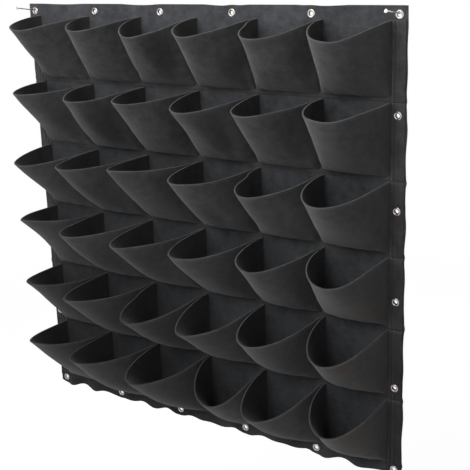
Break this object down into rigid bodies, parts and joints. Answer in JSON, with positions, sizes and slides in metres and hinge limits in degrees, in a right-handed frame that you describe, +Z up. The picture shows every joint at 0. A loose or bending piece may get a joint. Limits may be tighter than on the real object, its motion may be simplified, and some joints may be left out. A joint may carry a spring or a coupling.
{
  "type": "felt wall planter",
  "caption": "Square felt wall planter with rows of open felt pockets, metal eyelets round its edge and two nails that it hangs on.",
  "frame": {"origin": "on the back of the felt, midway between the two nails, at the height where the nails enter the wall", "axes": "+X along the wall to the right seen from the front, +Y into the wall, +Z up"},
  "size_m": [1, 0.2199, 1],
  "materials": {
    "felt": "matt charcoal needle-punched felt",
    "thread": "dark grey polyester sewing thread",
    "nickel": "nickel-plated, worn bright",
    "nail_steel": "drawn wire with a little rust"
  },
  "bodies": {
    "nails": {"nail_left": "nail_steel", "nail_right": "nail_steel"},
    "planter": {"backing_sheet": "felt", "pocket_strip_1": "felt", "pocket_strip_2": "felt", "pocket_strip_3": "felt", "pocket_strip_4": "felt", "pocket_strip_5": "felt", "pocket_strip_6": "felt", "seam_thread_1": "thread", "seam_thread_2": "thread", "seam_thread_3": "thread", "seam_thread_4": "thread", "seam_thread_5": "thread", "seam_thread_6": "thread", "margin_thread_left": "thread", "margin_thread_right": "thread", "eyelets_top": "nickel", "eyelets_right": "nickel", "eyelets_bottom": "nickel", "eyelets_left": "nickel", "washers_top": "nickel", "washers_right": "nickel", "washers_bottom": "nickel", "washers_left": "nickel"}
  },
  "joints": [
    {"name": "planter_swing", "type": "hinge", "parent": "nails", "child": "planter", "pos_m": [0, -0.0022, 0.00031], "axis": [-1, 0, 0], "range_deg": [0, 20]}
  ]
}
